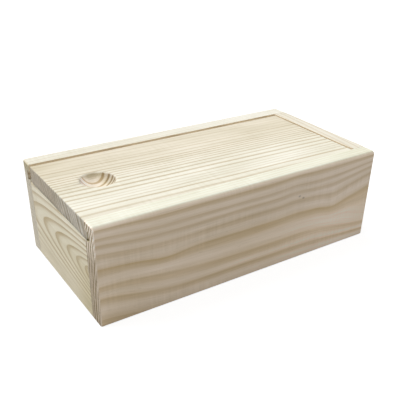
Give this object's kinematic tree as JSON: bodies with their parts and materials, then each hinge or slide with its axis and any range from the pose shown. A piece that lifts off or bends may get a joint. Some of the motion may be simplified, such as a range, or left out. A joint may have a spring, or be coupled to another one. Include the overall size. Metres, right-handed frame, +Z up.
{
  "type": "sliding lid box",
  "caption": "Small untreated pine box with a lid that slides in grooves along its sides and has a round finger scoop.",
  "frame": {"origin": "centre of the underside of the closed box", "axes": "+X towards the rear end, +Y towards the far side, +Z up; the lid slides out along -X"},
  "size_m": [0.145, 0.075, 0.045],
  "materials": {
    "pine_sides": "untreated, sanded",
    "pine_ends": "untreated, sanded",
    "pine_bottom": "untreated, sanded",
    "pine_lid": "untreated, sanded"
  },
  "bodies": {
    "box": {"near_side": "pine_sides", "far_side": "pine_sides", "front_end": "pine_ends", "rear_end": "pine_ends", "bottom_panel": "pine_bottom"},
    "lid": {"lid": "pine_lid"}
  },
  "joints": [
    {"name": "lid_slide", "type": "slide", "parent": "box", "child": "lid", "axis": [-1, 0, 0], "range_m": [0, 0.14]}
  ]
}
